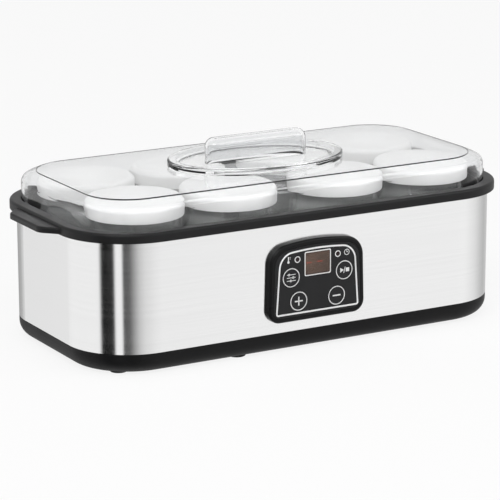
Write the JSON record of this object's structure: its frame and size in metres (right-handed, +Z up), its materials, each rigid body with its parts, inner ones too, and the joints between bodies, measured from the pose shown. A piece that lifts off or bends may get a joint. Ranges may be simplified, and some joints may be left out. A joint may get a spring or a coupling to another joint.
{
  "type": "yogurt maker",
  "caption": "Countertop yogurt maker: brushed steel body with black rim and base, a front control panel, capped glass jars inside and a clear lift-off lid with a grip.",
  "frame": {"origin": "on the table under the middle of the body", "axes": "+X along the body, the control panel faces -Y, +Z up"},
  "size_m": [0.372, 0.176, 0.1423],
  "materials": {
    "clear_lid": "clear, polished",
    "black_plastic": "satin black",
    "steel_wall": "brushed along its length",
    "tub_plastic": "satin dark grey",
    "heater_aluminium": "mill finish",
    "cord_silicone": "white silicone sleeve",
    "screw_steel": "zinc plated",
    "fuse_metal": "bright metal can",
    "sensor_resin": "resin bead",
    "lead_insulation": "silicone insulation",
    "board_green": "green solder mask",
    "transformer_core": "varnished",
    "relay_case": "moulded case",
    "capacitor_can": "sleeved can",
    "terminal_plastic": "moulded",
    "switch_plastic": "moulded",
    "display_case": "moulded display block",
    "led_body": "clear red",
    "socket_plastic": "moulded",
    "ribbon_grey": "flat ribbon",
    "bush_rubber": "satin",
    "panel_black": "gloss black",
    "panel_face": "gloss black film",
    "smoked_window": "smoky brown",
    "lens_plastic": "dark red",
    "foot_rubber": "matt",
    "jar_glass": "clear",
    "cap_white": "satin white",
    "key_black": "satin black with a white ring"
  },
  "bodies": {
    "housing": {"rim_frame": "black_plastic", "steel_band": "steel_wall", "base_tray": "black_plastic", "inner_tub": "tub_plastic", "heater_plate": "heater_aluminium", "heating_cord": "cord_silicone", "heat_shield": "heater_aluminium", "shield_screws": "screw_steel", "thermal_fuse": "fuse_metal", "temperature_sensor": "sensor_resin", "heater_leads": "lead_insulation", "power_board": "board_green", "board_screws": "screw_steel", "transformer": "transformer_core", "relay": "relay_case", "filter_capacitor": "capacitor_can", "terminal_blocks": "terminal_plastic", "control_board": "board_green", "control_board_screws": "screw_steel", "tact_switches": "switch_plastic", "led_display": "display_case", "indicator_leds": "led_body", "ribbon_sockets": "socket_plastic", "ribbon_cable": "ribbon_grey", "cord_inlet": "bush_rubber", "base_screws": "screw_steel", "panel_bezel": "panel_black", "panel_overlay": "panel_face", "display_window": "smoked_window", "indicator_lenses": "lens_plastic", "foot_front_left": "foot_rubber", "foot_front_right": "foot_rubber", "foot_rear_left": "foot_rubber", "foot_rear_right": "foot_rubber", "foot_front_middle": "foot_rubber", "foot_rear_middle": "foot_rubber"},
    "lid": {"lid": "clear_lid"},
    "function_key": {"function_key": "key_black"},
    "start_key": {"start_key": "key_black"},
    "plus_key": {"plus_key": "key_black"},
    "minus_key": {"minus_key": "key_black"},
    "jar_1": {"jar_1": "jar_glass"},
    "jar_2": {"jar_2": "jar_glass"},
    "jar_3": {"jar_3": "jar_glass"},
    "jar_4": {"jar_4": "jar_glass"},
    "jar_5": {"jar_5": "jar_glass"},
    "jar_6": {"jar_6": "jar_glass"},
    "jar_7": {"jar_7": "jar_glass"},
    "jar_8": {"jar_8": "jar_glass"},
    "jar_cap_1": {"jar_cap_1": "cap_white"},
    "jar_cap_2": {"jar_cap_2": "cap_white"},
    "jar_cap_3": {"jar_cap_3": "cap_white"},
    "jar_cap_4": {"jar_cap_4": "cap_white"},
    "jar_cap_5": {"jar_cap_5": "cap_white"},
    "jar_cap_6": {"jar_cap_6": "cap_white"},
    "jar_cap_7": {"jar_cap_7": "cap_white"},
    "jar_cap_8": {"jar_cap_8": "cap_white"}
  },
  "joints": [
    {"name": "lid_lift", "type": "slide", "parent": "housing", "child": "lid", "axis": [0, 0, 1], "range_m": [0, 0.15]},
    {"name": "function_key_press", "type": "slide", "parent": "housing", "child": "function_key", "axis": [0, 1, 0], "range_m": [0, 0.0004], "stiffness_N_per_m": 300},
    {"name": "start_key_press", "type": "slide", "parent": "housing", "child": "start_key", "axis": [0, 1, 0], "range_m": [0, 0.0004], "stiffness_N_per_m": 300},
    {"name": "plus_key_press", "type": "slide", "parent": "housing", "child": "plus_key", "axis": [0, 1, 0], "range_m": [0, 0.0004], "stiffness_N_per_m": 300},
    {"name": "minus_key_press", "type": "slide", "parent": "housing", "child": "minus_key", "axis": [0, 1, 0], "range_m": [0, 0.0004], "stiffness_N_per_m": 300},
    {"name": "jar_1_lift", "type": "slide", "parent": "housing", "child": "jar_1", "axis": [0, 0, 1], "range_m": [0, 0.001]},
    {"name": "cap_1_twist", "type": "hinge", "parent": "jar_1", "child": "jar_cap_1", "pos_m": [-0.1186, -0.0375, 0.1143], "axis": [0, 0, 1], "range_deg": [0, 120]},
    {"name": "jar_2_lift", "type": "slide", "parent": "housing", "child": "jar_2", "axis": [0, 0, 1], "range_m": [0, 0.001]},
    {"name": "cap_2_twist", "type": "hinge", "parent": "jar_2", "child": "jar_cap_2", "pos_m": [-0.0442, -0.0375, 0.1143], "axis": [0, 0, 1], "range_deg": [0, 120]},
    {"name": "jar_3_lift", "type": "slide", "parent": "housing", "child": "jar_3", "axis": [0, 0, 1], "range_m": [0, 0.001]},
    {"name": "cap_3_twist", "type": "hinge", "parent": "jar_3", "child": "jar_cap_3", "pos_m": [0.0442, -0.0375, 0.1143], "axis": [0, 0, 1], "range_deg": [0, 120]},
    {"name": "jar_4_lift", "type": "slide", "parent": "housing", "child": "jar_4", "axis": [0, 0, 1], "range_m": [0, 0.001]},
    {"name": "cap_4_twist", "type": "hinge", "parent": "jar_4", "child": "jar_cap_4", "pos_m": [0.1186, -0.0375, 0.1143], "axis": [0, 0, 1], "range_deg": [0, 120]},
    {"name": "jar_5_lift", "type": "slide", "parent": "housing", "child": "jar_5", "axis": [0, 0, 1], "range_m": [0, 0.001]},
    {"name": "cap_5_twist", "type": "hinge", "parent": "jar_5", "child": "jar_cap_5", "pos_m": [-0.1186, 0.0375, 0.1143], "axis": [0, 0, 1], "range_deg": [0, 120]},
    {"name": "jar_6_lift", "type": "slide", "parent": "housing", "child": "jar_6", "axis": [0, 0, 1], "range_m": [0, 0.001]},
    {"name": "cap_6_twist", "type": "hinge", "parent": "jar_6", "child": "jar_cap_6", "pos_m": [-0.0442, 0.0375, 0.1143], "axis": [0, 0, 1], "range_deg": [0, 120]},
    {"name": "jar_7_lift", "type": "slide", "parent": "housing", "child": "jar_7", "axis": [0, 0, 1], "range_m": [0, 0.001]},
    {"name": "cap_7_twist", "type": "hinge", "parent": "jar_7", "child": "jar_cap_7", "pos_m": [0.0442, 0.0375, 0.1143], "axis": [0, 0, 1], "range_deg": [0, 120]},
    {"name": "jar_8_lift", "type": "slide", "parent": "housing", "child": "jar_8", "axis": [0, 0, 1], "range_m": [0, 0.001]},
    {"name": "cap_8_twist", "type": "hinge", "parent": "jar_8", "child": "jar_cap_8", "pos_m": [0.1186, 0.0375, 0.1143], "axis": [0, 0, 1], "range_deg": [0, 120]}
  ]
}
